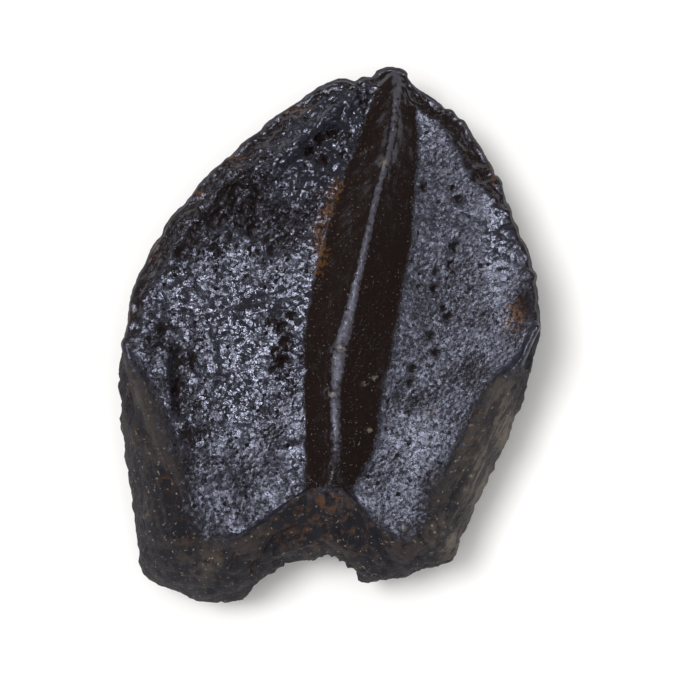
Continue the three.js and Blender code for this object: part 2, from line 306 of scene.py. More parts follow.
def tooth_rings(shape):
    """The whole tooth's rings, counter-clockwise seen from above, from the notch and up the right side."""
    right, right_off, crown = side_rings(
        shape, RIGHT_ROOT, RIGHT_CROWN, RIGHT_ENAMEL, RIGHT_FLANK, RIGHT_MARGIN, shape.right_scallops)
    left, left_off, _ = side_rings(
        shape, LEFT_ROOT, LEFT_CROWN, LEFT_ENAMEL, LEFT_FLANK, LEFT_MARGIN, shape.left_scallops)
    rings = [np.vstack([r, l[-2:0:-1]]) * MM for r, l in zip(right, left)]
    distances = [np.concatenate([r, l[-2:0:-1]]) for r, l in zip(right_off, left_off)]
    return rings, distances, np.concatenate([crown, crown[-2:0:-1]])


def deselect_all():
    """Leaves nothing selected, because an operator acts on all that is."""
    bpy.ops.object.select_all(action="DESELECT")


def model_tooth(shape):
    """Models the tooth: a circle is laid on the keel's crest and extruded from ring to ring."""
    rings, distances, crown = tooth_rings(shape)
    deselect_all()
    bpy.ops.mesh.primitive_circle_add(vertices=len(crown), radius=10 * MM)
    tooth = bpy.context.object
    tooth.name = "fossil_tooth"
    mesh = tooth.data
    mesh.name = "fossil_tooth"
    mesh.attributes.new("step", "INT", "POINT").data.foreach_set("value", range(len(crown)))
    mesh.attributes.new("off_enamel", "FLOAT", "POINT")
    mesh.attributes.new("crown", "FLOAT", "POINT").data.foreach_set("value", crown)
    bpy.ops.object.mode_set(mode="EDIT")
    bpy.ops.mesh.select_mode(type="VERT")
    bpy.ops.mesh.select_all(action="SELECT")
    for number, (ring, distance) in enumerate(zip(rings, distances)):
        if number:
            bpy.ops.mesh.extrude_edges_indiv()
        place_ring(mesh, ring, distance)
    bpy.ops.mesh.fill(use_beauty=True)
    bpy.ops.mesh.select_all(action="SELECT")
    bpy.ops.mesh.remove_doubles(threshold=0.005 * MM)
    bpy.ops.mesh.normals_make_consistent(inside=False)
    bpy.ops.object.mode_set(mode="OBJECT")
    return tooth


def place_ring(mesh, ring, distance):
    """Grabs the selected ring and lays it on its curve."""
    grabbed = bmesh.from_edit_mesh(mesh)
    step = grabbed.verts.layers.int["step"]
    off_enamel = grabbed.verts.layers.float["off_enamel"]
    for vertex in grabbed.verts:
        if vertex.select:
            vertex.co = ring[vertex[step]]
            vertex[off_enamel] = distance[vertex[step]]
    bmesh.update_edit_mesh(mesh)


class ToothRelief(bpy.types.PropertyGroup):
    """Heights of the tooth's natural surface"""

    swell: FloatProperty(
        name="Swell", description="Height of the broad, shallow bumps", default=0.3 * MM, unit="LENGTH",
        subtype="DISTANCE")
    dents: FloatProperty(
        name="Dents", description="Height of the dents on the left lobe", default=0.13 * MM, unit="LENGTH",
        subtype="DISTANCE")
    grain: FloatProperty(
        name="Grain", description="Height of the fine bumps on the enamel", default=0.09 * MM, unit="LENGTH",
        subtype="DISTANCE")
    striation: FloatProperty(
        name="Striation", description="Depth of the fine grooves along the root", default=0.13 * MM,
        unit="LENGTH", subtype="DISTANCE")
    crumble: FloatProperty(
        name="Crumble", description="Height of the broken bumps on the root", default=0.8 * MM,
        unit="LENGTH", subtype="DISTANCE")


# Pits and dark holes in the surface: x, y, radius and depth in millimetres. A grain has a depth below 0.
LEFT_PITS = [
    (0.15, 9.9, 0.45, 0.2), (-0.55, 9.75, 0.45, 0.2), (-0.4, 8.6, 0.5, 0.2), (-6.75, 5.2, 0.4, 0.2),
    (-3.9, 5.2, 0.4, 0.2), (-4.8, 7.35, 0.5, 0.2), (-1.1, 9.1, 0.4, 0.18), (0.6, 8.9, 0.3, 0.15),
    (-5.6, 5.6, 0.5, 0.2), (-6.2, 6.1, 0.35, 0.16), (-2.9, 4.2, 0.3, 0.14), (-7.4, 4.1, 0.4, 0.18),
    (-2.4, 0.3, 0.3, 0.18), (-2.3, -1.4, 0.3, 0.2), (-2.3, -0.4, 0.25, 0.16), (-2.8, -0.9, 0.25, 0.14),
]
RIGHT_PITS = [
    (4.6, 7.25, 0.22, 0.1), (6.05, 7.25, 0.2, 0.1), (6.3, 6.7, 0.25, 0.14), (6.15, 4.3, 0.3, 0.16),
    (5.9, 3.45, 0.22, 0.14), (5.2, 3.05, 0.2, 0.12), (5.15, 2.25, 0.22, 0.14), (5.55, 1.25, 0.2, 0.12),
    (5.8, 0.85, 0.28, 0.16), (4.95, -0.1, 0.2, 0.12), (5.2, -0.95, 0.22, 0.12), (4.05, -1.7, 0.22, 0.12),
    (3.9, -2.4, 0.2, 0.12),
]
ROOT_PITS = [
    (-7.95, -7.1, 0.3, 0.3), (-4.8, -12.0, 0.25, 0.2), (-3.65, -10.45, 0.2, 0.15), (10.2, 1.3, 0.2, 0.12),
]
GRAINS = [
    (-9.1, -8.95, 0.3, -0.14), (3.55, -9.55, 0.28, -0.14), (2.2, -2.15, 0.18, -0.12),
    (1.75, -2.5, 0.2, -0.12), (0.1, -2.95, 0.3, -0.16), (0.55, -0.7, 0.35, -0.14), (2.6, 8.4, 0.25, -0.1),
    (1.95, -4.75, 0.2, -0.1),
]
# Ridges and grooves in the surface: a line through points, half width and height in millimetres.
RIDGES = [
    ([(-10.1, -0.6), (-9.6, -2.0), (-9.0, -3.6), (-8.2, -5.4), (-7.6, -7.2)], 0.4, 0.3),
    ([(-8.1, -1.6), (-8.05, -2.4), (-7.8, -3.6)], 0.16, 0.16),
    ([(-7.6, -0.9), (-7.5, -2.4), (-7.45, -3.8)], 0.3, -0.28),
    ([(-10.3, -0.7), (-10.1, -2.6), (-9.8, -4.2)], 0.2, -0.2),
    ([(10.1, 0.3), (9.7, -0.5), (9.4, -1.3)], 0.18, 0.25),
    ([(10.35, 0.0), (9.95, -0.9), (9.6, -1.6)], 0.15, -0.2),
    ([(9.3, -1.4), (7.8, -3.0), (6.9, -4.7), (6.2, -6.2), (5.4, -7.8)], 0.24, 0.24),
    ([(-3.0, -10.3), (-1.6, -9.7), (0.0, -9.6), (1.3, -10.2)], 0.25, -0.3),
    ([(-2.6, -10.8), (-1.4, -10.3), (0.0, -10.2), (1.2, -10.8)], 0.2, 0.25),
    ([(-5.9, -10.2), (-4.4, -10.4), (-3.3, -9.5)], 0.3, 0.14),
    ([(0.7, 11.5), (-0.4, 10.6), (-1.45, 9.65), (-2.4, 8.8), (-2.95, 8.2)], 0.28, 0.14),
]
# Patches of the surface: x, y, half width and half height in millimetres, and strength.
# Dull patches are rougher and painted darker. Those on the pits and along the groove in the left lobe are
# painted shade in them.
DULL_AND_SHADED_PATCHES = [
    (-5.8, 5.75, 1.0, 0.7, 1.0), (-4.8, 7.35, 0.8, 0.6, 0.9), (-2.9, 0.6, 0.3, 0.3, 2.2),
    (-2.4, 0.25, 0.32, 0.35, 2.4), (-2.25, -0.45, 0.32, 0.42, 2.4), (-2.75, -0.9, 0.25, 0.3, 2.2),
    (-2.35, -1.4, 0.3, 0.4, 2.4), (-2.9, -1.8, 0.2, 0.25, 2.0), (-2.0, 0.95, 0.22, 0.25, 2.0),
    (-1.4, -1.2, 0.16, 0.3, 1.8), (-1.5, 6.0, 1.6, 1.3, 0.7), (-2.4, 4.6, 1.6, 0.8, 0.6),
    (-7.2, 4.4, 0.8, 0.8, 0.8), (0.1, 9.9, 0.5, 0.4, 1.0), (-0.5, 8.7, 0.4, 0.4, 0.8),
    (-3.4, 8.9, 1.3, 0.6, 0.7), (-4.4, 5.6, 0.9, 0.9, 0.6), (6.9, -2.2, 1.2, 0.7, 0.3),
    (5.0, -3.2, 1.3, 0.6, 0.2), (6.6, -4.0, 0.8, 0.4, 0.35), (9.5, 1.2, 0.7, 1.1, 0.5),
    (-7.45, -1.5, 0.25, 0.45, 1.0), (-7.5, -2.7, 0.3, 0.4, 1.0), (-7.3, -3.6, 0.25, 0.3, 1.0),
    (-6.8, -1.2, 0.2, 0.3, 1.2), (-8.4, 0.2, 0.25, 0.2, 1.2), (-4.6, 6.6, 3.2, 2.0, 0.75),
    (-3.0, 6.9, 2.2, 1.0, 0.35), (-8.8, 2.6, 0.6, 0.9, 0.4), (-6.9, -4.6, 0.5, 1.6, 0.5),
    (1.7, 11.2, 0.5, 1.2, 0.9), (5.0, -7.4, 0.5, 0.6, 0.5), (6.4, 2.0, 1.8, 2.0, 0.12),
]
POLISHED_PATCHES = [
    (0.0, 10.9, 0.4, 0.3, 0.9), (-0.9, 10.1, 0.4, 0.35, 0.9), (-1.9, 9.2, 0.4, 0.35, 0.9),
    (-2.8, 8.3, 0.4, 0.4, 0.8), (-4.8, -2.3, 1.3, 1.2, 1.8), (-4.5, 0.9, 1.6, 1.6, 1.5),
    (-4.0, -0.6, 1.6, 2.4, 0.9), (-1.2, 7.8, 1.3, 1.3, 1.2), (0.5, 10.9, 1.2, 0.8, 1.2),
    (-3.2, 9.9, 0.8, 0.4, 0.6), (-7.4, 1.8, 1.3, 1.1, 0.9), (-1.35, 0.9, 0.5, 3.0, 1.1),
    (-4.3, -3.6, 1.0, 1.4, 0.8), (-1.6, -5.8, 0.5, 2.2, 0.6), (8.3, 4.9, 0.6, 2.0, 1.1),
    (4.6, 11.0, 0.4, 1.6, 0.7), (-3.5, 2.2, 1.0, 1.0, 0.5), (0.1, 9.0, 0.5, 0.9, 1.2),
    (4.2, -5.6, 1.0, 1.0, 0.35),
]
UMBER_PATCHES = [
    (-0.2, -9.4, 3.4, 1.3, 1.1), (-0.1, -8.2, 0.9, 0.5, 1.8), (-10.2, -2.4, 0.4, 2.2, 1.0),
    (-7.95, -7.1, 0.5, 0.6, 1.0), (-4.2, -11.2, 1.4, 0.6, 0.7), (7.0, -4.6, 0.6, 2.4, 0.5),
    (1.2, -10.6, 1.4, 0.7, 1.0), (9.3, 0.8, 0.8, 1.1, 1.0), (-6.9, -9.4, 0.6, 1.2, 0.5),
    (9.6, 1.2, 0.8, 1.0, 1.0), (-9.6, -5.6, 0.5, 1.6, 0.4), (4.6, -11.4, 0.8, 0.3, 0.6),
]
STAIN_PATCHES = [
    (0.7, -8.3, 0.5, 0.4, 0.7), (9.1, 0.9, 0.7, 1.1, 0.9), (6.6, -6.4, 0.4, 0.9, 0.6),
    (-9.8, 1.2, 0.3, 0.9, 0.5), (4.9, -4.0, 0.6, 0.4, 0.6), (5.4, -7.3, 0.4, 0.5, 0.6),
    (8.5, -2.4, 0.5, 0.4, 0.5), (-0.4, 7.0, 0.7, 0.5, 0.5), (-8.7, 4.6, 0.4, 1.0, 0.8),
    (-1.6, 11.1, 0.9, 0.35, 0.75), (-4.8, 8.7, 0.6, 0.5, 0.7), (8.1, 8.0, 0.35, 0.8, 0.7),
    (9.2, 6.0, 0.3, 0.9, 0.6), (-6.6, 6.9, 0.5, 0.5, 0.65),
]
PALE_PATCHES = [
    (8.6, -4.6, 0.8, 1.8, 1.5), (7.4, -7.4, 0.8, 2.0, 1.4), (6.0, -10.2, 0.9, 1.0, 1.3),
    (-9.6, -3.0, 0.3, 1.4, 0.3), (-8.9, -5.2, 0.3, 1.2, 0.2), (-8.3, -7.0, 0.3, 0.9, 0.15),
    (-5.4, -11.4, 1.2, 0.6, 0.4),
]
# The orange-brown streak beside the keel.
STAIN_LINE = [(0.3, 7.4), (-0.05, 6.3), (-0.4, 5.6), (-0.7, 5.05), (-0.45, 4.0), (-0.6, 3.2)]


def place_and_side(tooth):
    """Each vertex's place and normal in millimetres, and the values that it carries from the rings."""
    mesh = tooth.data
    count = len(mesh.vertices)
    place, normal = np.empty(count * 3), np.empty(count * 3)
    off_enamel, crown = np.empty(count), np.empty(count)
    mesh.vertices.foreach_get("co", place)
    mesh.vertices.foreach_get("normal", normal)
    mesh.attributes["off_enamel"].data.foreach_get("value", off_enamel)
    mesh.attributes["crown"].data.foreach_get("value", crown)
    return place.reshape(-1, 3) / MM, normal.reshape(-1, 3), off_enamel, crown


def region_weights(tooth):
    """How far each vertex belongs to the tooth's regions, from 0 for not at all, by name."""
    place, _, off_enamel, crown = place_and_side(tooth)
    x, y, z = place.T
    crest = along(CREST, y)
    on_left = x < crest
    left_side = 1 - smoothstep(x - crest, -0.2, 0.2)
    face = 1 - smoothstep(off_enamel, -0.15, 0.15)
    wall = 1 - face

    off_crest = np.abs(x - crest)
    reach = np.where(on_left, along(LEFT_FLANK, y), along(RIGHT_FLANK, y))
    half = along(CREST_HALF_WIDTH, y)
    keel_foot = smoothstep(y, -8.8, -6.6) * face
    flank = (1 - smoothstep(off_crest, reach - 0.15, reach + 0.25)) * keel_foot
    # The crest's line, which the material paints a lighter grey as painted sheen.
    line = (1 - smoothstep(off_crest, half * 0.4, half * 2.2)) * keel_foot
    line *= 0.3 + 0.7 * smoothstep(y, -7.5, -3.5)

    width = np.where(on_left, along(LEFT_MARGIN["width"], y), along(RIGHT_MARGIN["width"], y))
    bevel = smoothstep(off_enamel / width, -1.1, -0.6) * crown
    bevel *= np.where(on_left, 0.8, 1.0)
    bevel = np.maximum(bevel, smoothstep(off_enamel, -0.35, 0.0) * crown)
    margin = smoothstep(off_enamel, -1.2, -0.3) * crown
    margin = np.maximum(margin, np.exp(-((off_enamel / 0.5) ** 2)))
    lobes = face * (1 - flank) * (1 - 0.6 * bevel)

    root = wall * (1 - 0.9 * crown * (1 - smoothstep(off_enamel, 1.5, 4.0))) * smoothstep(z, 0.2, 1.4)
    root *= 1 - 0.55 * smoothstep(np.abs(x), 4.5, 7.5)

    dull_and_shaded = patches(x, y, DULL_AND_SHADED_PATCHES)
    # The pits are painted darker too: painted shade in them.
    for px, py, radius, _ in LEFT_PITS + RIGHT_PITS:
        away = ((x - px) ** 2 + (y - py) ** 2) / (0.6 * radius) ** 2
        dull_and_shaded = np.maximum(dull_and_shaded, 1.5 * np.exp(-(away**2)))
    stain = np.exp(-((distance_to_line(x, y, STAIN_LINE) / 0.42) ** 2)) * face
    stain = np.maximum(stain, patches(x, y, STAIN_PATCHES))
    grains = [(gx, gy, radius, radius, 1.0) for gx, gy, radius, _ in GRAINS]
    return {
        "flank": flank, "crest": line, "bevel": bevel, "margin": margin, "root": root,
        "lobes": lobes * np.where(on_left, 1.0, 0.4),
        "left": lobes * left_side * (0.25 + 0.75 * smoothstep(y, -6.5, -3.0)),
        "upper left": lobes * left_side * smoothstep(y, 3.5, 7.0),
        "dull_and_shaded": dull_and_shaded * face, "polish": patches(x, y, POLISHED_PATCHES) * face, "stain": stain,
        "umber": patches(x, y, UMBER_PATCHES), "pale": patches(x, y, PALE_PATCHES),
        "silt": patches(x, y, grains),
    }


def patches(x, y, marks):
    """The strongest of a list of soft round patches at each point."""
    strongest = np.zeros(len(x))
    for cx, cy, half_width, half_height, strength in marks:
        away = ((x - cx) / half_width) ** 2 + ((y - cy) / half_height) ** 2
        strongest = np.maximum(strongest, strength * np.exp(-away))
    return strongest


def distance_to_line(x, y, line):
    """How far each point is from a line through a few points."""
    nearest = np.full(len(x), np.inf)
    for (x0, y0), (x1, y1) in zip(line, line[1:]):
        t = np.clip(((x - x0) * (x1 - x0) + (y - y0) * (y1 - y0)) / ((x1 - x0) ** 2 + (y1 - y0) ** 2), 0, 1)
        nearest = np.minimum(nearest, np.hypot(x - x0 - t * (x1 - x0), y - y0 - t * (y1 - y0)))
    return nearest


def add_group(tooth, name, weights):
    """Makes a vertex group of a region."""
    group = tooth.vertex_groups.new(name=name)
    for index in np.flatnonzero(weights > 0.004):
        group.add([int(index)], float(weights[index]), "REPLACE")


def displace(tooth, name, region, height, size, detail):
    """Pushes a region in and out along its normals by clouds of bumps, size millimetres wide."""
    clouds = bpy.data.textures.new(name, "CLOUDS")
    clouds.noise_scale = size * MM
    clouds.noise_depth = detail
    push = tooth.modifiers.new(name, "DISPLACE")
    push.texture = clouds
    push.texture_coords = "LOCAL"
    push.strength = height
    push.mid_level = 0.5
    push.vertex_group = region
    bpy.ops.object.modifier_apply(modifier=name)


def press_marks(tooth, marks):
    """Presses round pits into the upper surface, and raises grains, ridges and grooves."""
    place, normal, _, _ = place_and_side(tooth)
    push = np.zeros(len(place))
    up = smoothstep(normal[:, 2], 0.05, 0.3)
    for x, y, radius, depth in marks:
        away = np.hypot(place[:, 0] - x, place[:, 1] - y) / radius
        push -= depth * np.exp(-((away * 1.15) ** 2))
    for line, half_width, height in RIDGES:
        away = distance_to_line(place[:, 0], place[:, 1], line) / half_width
        push += height * np.exp(-(away**2))
    move_along_normals(tooth, push * up)


def move_along_normals(tooth, push):
    """Moves each vertex along its normal by push millimetres."""
    place, normal, _, _ = place_and_side(tooth)
    moved = (place + normal * push[:, None]) * MM
    tooth.data.vertices.foreach_set("co", moved.ravel())
    tooth.data.update()


def striate_root(tooth, depth):
    """Cuts fine grooves that run along the root's wall, side by side from the enamel down."""
    place, _, off_enamel, crown = place_and_side(tooth)
    weight = smoothstep(off_enamel, 0.1, 0.6) * (1 - 0.6 * crown) * smoothstep(place[:, 1], -10.5, -7.5)
    push = np.zeros(len(place))
    for index in np.flatnonzero(weight > 0.01):
        x, y, _ = place[index]
        across = off_enamel[index]
        fine = noise.noise(Vector((x * 0.35, y * 0.22, across * 3.4)))
        coarse = noise.noise(Vector((x * 0.2 + 40, y * 0.15, across * 1.3)))
        push[index] = weight[index] * depth * (fine + 1.2 * coarse)
    move_along_normals(tooth, push)


def shape_relief(tooth, relief):
    """Gives the smooth tooth its natural surface, and its material what it reads there."""
    smooth, outward, _, _ = place_and_side(tooth)
    # Name, region, height, width of the bumps in millimetres, and how much detail they have.
    layers = (
        ("swell", "lobes", relief.swell, 1.9, 2),
        ("dents", "left", relief.dents, 0.75, 2),
        ("hummocks", "upper left", relief.dents * 2.7, 0.36, 1),
        ("crumble", "root", relief.crumble, 1.2, 2),
        ("root grit", "root", relief.crumble * 0.5, 0.4, 1),
        ("keel lumps", "flank", relief.swell * 0.3, 0.8, 2),
        ("grain", "lobes", relief.grain, 0.3, 2),
        ("margin lumps", "margin", relief.dents * 1.3, 0.6, 2),
    )
    weights = region_weights(tooth)
    for region in sorted({layer[1] for layer in layers}):
        add_group(tooth, region, weights[region])
    for name, region, height, size, detail in layers:
        displace(tooth, name, region, height, size, detail)
    tooth.vertex_groups.clear()
    striate_root(tooth, relief.striation / MM)
    press_marks(tooth, LEFT_PITS + RIGHT_PITS + ROOT_PITS + GRAINS)
    rough, _, _, _ = place_and_side(tooth)
    risen = ((rough - smooth) * outward).sum(axis=1)  # tops are painted paler and hollows darker, which is painted shade, and tops keep more polish than hollows
    for name, values in surface_values(tooth, risen).items():
        mesh_values(tooth, name, values)


def surface_values(tooth, risen):
    """What the material reads at each vertex, by name.

    The left lobe is more rugged and glitters more, and polished places glitter most. Hollows are less polished
    on the enamel. On both the enamel and the dentine, hollows are painted darker and tops paler, which is
    painted shade; pits are painted darker too.
    """
    regions = region_weights(tooth)
    _, _, off_enamel, crown = place_and_side(tooth)
    left, polish, umber = regions["left"], regions["polish"], regions["umber"]
    return {
        **{name: regions[name] for name in ("flank", "crest", "bevel", "stain", "umber", "pale", "silt")},
        "past enamel": off_enamel - 1.8 * crown,  # on the crown the enamel wraps round the margin
        "ruggedness": 2.8 * left + 0.9,
        "speckle": left + 1.3,
        # Hollows are painted darker on the enamel through the next value, and pits through the patches in it:
        # painted shade.
        "dullness and shade": 0.14 - 0.16 * left - 1.5 * risen + regions["dull_and_shaded"] - 0.9 * polish,
        "gloss": 0.1 * left + 0.06 * regions["upper left"] + 0.2 * polish,
        "glitter": 130 * left + 130 * polish + 205,  # in thousandths of a slope
        # Tops are painted paler and hollows darker on the dentine: painted shade.
        "relief shade and umber": 0.4 * risen - 0.08 * umber,
    }


def mesh_values(tooth, name, weights):
    """Stores one value for each vertex, for the material to read."""
    tooth.data.attributes.new(name, "FLOAT", "POINT").data.foreach_set("value", weights)


def linear(code):
    """An sRGB hex colour as linear RGBA."""
    parts = [int(code[i:i + 2], 16) / 255 for i in (1, 3, 5)]
    return (*[c / 12.92 if c <= 0.04045 else ((c + 0.055) / 1.055) ** 2.4 for c in parts], 1.0)


class ToothColours(bpy.types.PropertyGroup):
    """Colours of the fossil enamel, the dentine and what lies in them"""

    # The enamel colour is partly painted sheen: a lighter, bluer grey than the enamel's own brown-black,
    # standing in for the overhead light's reflection on the lobes.
    enamel: FloatVectorProperty(
        name="Enamel", description="Grey of the lobes under their shine", subtype="COLOR", size=4,
        default=linear("#26252b"))
    enamel_dark: FloatVectorProperty(
        name="Dark enamel", description="Brown-black of the keel's flanks and the margin", subtype="COLOR",
        size=4, default=linear("#1b120d"))
    # The crest colour is painted sheen: a lighter grey for the overhead light on the keel's blunt top.
    crest: FloatVectorProperty(
        name="Crest", description="Grey of the keel's worn top", subtype="COLOR", size=4,
        default=linear("#39363b"))
    stain: FloatVectorProperty(
        name="Iron stain", description="Orange-brown streak along the keel", subtype="COLOR", size=4,
        default=linear("#5f3f1f"))
    dentine: FloatVectorProperty(
        name="Dentine", description="Grey-brown of the root", subtype="COLOR", size=4,
        default=linear("#3b322a"))
    # The dark dentine also fills the hollows, where the painted shade pulls the mottle down.
    dentine_dark: FloatVectorProperty(
        name="Dark dentine", description="Brown of the root's hollows", subtype="COLOR", size=4,
        default=linear("#100a07"))
    sediment: FloatVectorProperty(
        name="Sediment", description="Beige grains left in the root", subtype="COLOR", size=4,
        default=linear("#8d8170"))


def add_node(tree, kind, inputs=None, **settings):
    """Adds a node with its settings and links, and gives its outputs.

    Each input is given a value, or the output that feeds it.
    """
    made = tree.nodes.new("ShaderNode" + kind)
    for name, value in settings.items():
        setattr(made, name, value)
    for key, value in (inputs or {}).items():
        if isinstance(value, bpy.types.NodeSocket):
            tree.links.new(value, made.inputs[key])
        else:
            made.inputs[key].default_value = value
    return made.outputs


# What the material reads from the tooth's mesh. off_enamel is how far a point is from the enamel's edge.
SURFACE_VALUES = (
    "off_enamel", "flank", "crest", "bevel", "stain", "umber", "pale", "silt", "past enamel", "ruggedness",
    "speckle", "dullness and shade", "gloss", "glitter", "relief shade and umber",
)
# The material's noises: the size of their largest cells in millimetres, their detail and its roughness.
NOISES = {
    "edge": (0.6, 4.0, 0.65),
    "flecks": (0.24, 4.0, 0.7),
    "blotches": (1.3, 4.0, 0.6),
    "specks": (0.17, 3.0, 0.6),
    "dust": (0.11, 1.0, 0.55),
    "marbling": (0.5, 3.0, 0.55),
    "crumbs": (0.3, 4.0, 0.7),
    "clouds": (1.5, 2.0, 0.55),
    "sand": (0.22, 2.0, 0.55),
    "grain": (0.09, 2.0, 0.6),
    "swirls": (0.45, 3.0, 0.6),
}
# Regions with ragged borders: how far the flecks break them up, where they begin and are whole, and how much
# of them shows.
RAGGED = {
    "flank": (2.2, 0.3, 0.7, 1.0),
    "bevel": (2.4, 0.2, 1.0, 1.0),
    "stain": (2.4, 0.35, 1.1, 0.9),
    "silt": (3.0, 0.5, 1.2, 0.5),
}
# Cells of the enamel in millimetres. Real crystals are far finer, and are drawn as coarse as they need to
# show.
WARP_SIZE = 0.3
WARP_REACH = 0.2
PORE_SIZE = 0.5
PEBBLE_SIZE = 0.3
CRYSTAL_SIZE = 0.23
SLOPE = 1000.0  # millimetres of height for each metre across are a slope of one


def mineralised_tooth(colours):
    """Fossil enamel and dentine, both turned to stone.

    Enamel is dense apatite and keeps a satin shine that goes blue-grey under a soft light, and its lobes are
    also painted blue-grey as painted sheen. Dentine is porous and stays matt, with beige sediment in its
    pores, and its hollows are painted darker as painted shade.
    """
    material = bpy.data.materials.new("fossil enamel and dentine")
    material.use_nodes = True
    tree = material.node_tree
    tree.nodes.clear()
    add = functools.partial(add_node, tree)
    # Inputs go by number. Math and Vector Math take their terms in order. Map Range takes a value, the two
    # ends that it comes from, and the two that it goes to, which are 0 and 1 if not given. Mix takes the share
    # of the second of two values, 2 and 3, or of two colours, 6 and 7.

    place = add("TexCoord")["Object"]
    at = {}
    for name in SURFACE_VALUES:
        at[name] = add("Attribute", attribute_name=name, attribute_type="GEOMETRY")["Fac"]
    noises = {}
    for name, (size, detail, rough) in NOISES.items():
        inputs = {"Vector": place, "Scale": 1 / (size * MM), "Detail": detail, "Roughness": rough}
        noises[name] = add("TexNoise", inputs)["Fac"]
    # The same place bent a little, so that no cell has straight sides.
    bend = add("TexNoise", {"Vector": place, "Scale": 1 / (WARP_SIZE * MM)})["Color"]
    warped = add("VectorMath", {0: bend, 1: (WARP_REACH * MM,) * 3, 2: place}, operation="MULTIPLY_ADD")[0]

    # Flecks break up every border. Where the enamel ends it wavers too.
    flecks = add("Math", {0: noises["flecks"], 1: 0.5}, operation="SUBTRACT")[0]
    waver = add("Math", {0: flecks, 1: 2.5, 2: at["past enamel"]}, operation="MULTIPLY_ADD")[0]
    waver = add("Math", {0: noises["edge"], 1: 2.2, 2: waver}, operation="MULTIPLY_ADD")[0]
    on_root = add("MapRange", {0: waver, 1: 0.35, 2: 1.4}, interpolation_type="SMOOTHSTEP")[0]
    ragged = {}
    for name, (breaking, low, high, most) in RAGGED.items():
        broken = add("Math", {0: flecks, 1: breaking, 2: at[name]}, operation="MULTIPLY_ADD")[0]
        shown = {0: broken, 1: low, 2: high, 4: most}
        ragged[name] = add("MapRange", shown, interpolation_type="SMOOTHSTEP")[0]
    dark = add("Math", {0: ragged["flank"], 1: ragged["bevel"]}, operation="MAXIMUM")[0]
    # The crest is painted a lighter grey: painted sheen on the keel's top.
    crest = add("Math", {0: flecks, 1: 4.5, 2: 0.95}, operation="MULTIPLY_ADD")[0]
    crest = add("Math", {0: at["crest"], 1: crest}, operation="MULTIPLY")[0]
    crest = add("MapRange", {0: crest, 1: 0.2, 2: 0.8}, interpolation_type="SMOOTHSTEP")[0]

    # Places where the enamel's polish is gone: blotches, specks, and round pores in a few of the cells. The
    # same mask also paints shade: it darkens the hollows and the pits.
    blotches = add("Math", {0: noises["blotches"], 1: 0.5}, operation="SUBTRACT")[0]
    blotches = add("Math", {0: blotches, 1: 0.7, 2: flecks}, operation="MULTIPLY_ADD")[0]
    dull_and_shaded = add("Math", {0: blotches, 1: at["ruggedness"], 2: at["dullness and shade"]}, operation="MULTIPLY_ADD")[0]
    specks = add("Math", {0: noises["specks"], 1: 0.5}, operation="SUBTRACT")[0]
    dull_and_shaded = add("Math", {0: specks, 1: at["speckle"], 2: dull_and_shaded}, operation="MULTIPLY_ADD")[0]
    dull_and_shaded = add("MapRange", {0: dull_and_shaded, 1: 0.0, 2: 0.75}, interpolation_type="SMOOTHSTEP")[0]
    cells = add("TexVoronoi", {"Vector": warped, "Scale": 1 / (PORE_SIZE * MM)})
    chosen = add("SeparateXYZ", {0: cells["Color"]})[0]
    chosen = add("MapRange", {0: chosen, 1: 0.66, 2: 0.7}, interpolation_type="SMOOTHSTEP")[0]
    pores = {0: cells["Distance"], 1: 0.14, 2: 0.24, 3: 1.0, 4: 0.0}
    pores = add("MapRange", pores, interpolation_type="SMOOTHSTEP")[0]
    pores = add("Math", {0: pores, 1: chosen}, operation="MULTIPLY")[0]
    dull_and_shaded = add("Math", {0: dull_and_shaded, 1: pores}, operation="MAXIMUM")[0]

    # Enamel: blue-grey that is partly painted sheen, brown-black on the keel's flanks and the margin, with a
    # lighter grey crest that is painted sheen, painted shade in its hollows and pits, fine dust and iron
    # stains.
    dull_and_shaded_share = add("Math", {0: dull_and_shaded, 1: 0.9}, operation="MULTIPLY")[0]
    dust = {0: noises["dust"], 1: 0.7, 2: 0.76, 4: 0.5}
    dust = add("MapRange", dust, interpolation_type="SMOOTHSTEP")[0]
    dust = add("Math", {0: dust, 1: ragged["flank"]}, operation="MULTIPLY")[0]
    rust = add("MapRange", {0: flecks, 1: -0.1, 2: 0.12}, interpolation_type="SMOOTHSTEP")[0]
    rust = add("Mix", {0: rust, 6: colours.enamel_dark, 7: colours.stain}, data_type="RGBA")[2]
    enamel = colours.enamel
    for share, coat in (
        (dull_and_shaded_share, colours.enamel_dark),
        (dark, colours.enamel_dark),
        (crest, colours.crest),
        (dust, colours.sediment),
        (ragged["stain"], rust),
    ):
        enamel = add("Mix", {0: share, 6: enamel, 7: coat}, data_type="RGBA")[2]

    # Dentine: mottled, streaked along the root's wall, painted darker in its hollows and paler on its tops as
    # painted shade, with rust and beige sediment.
    split = add("SeparateXYZ", {0: place})
    along_root = add("CombineXYZ", {0: split["X"], 1: split["Y"], 2: at["off_enamel"]})[0]
    along_root = add("VectorMath", {0: along_root, 1: (700.0, 450.0, 3.0)}, operation="MULTIPLY")[0]
    streaks = add("TexNoise", {"Vector": along_root, "Scale": 1.0, "Detail": 4.0})["Fac"]
    past_base = {0: split["Y"], 1: -10.5 * MM, 2: -7.5 * MM}
    past_base = add("MapRange", past_base, interpolation_type="SMOOTHSTEP")[0]
    mottle = add("Mix", {0: past_base, 2: noises["marbling"], 3: streaks}, data_type="FLOAT")[0]
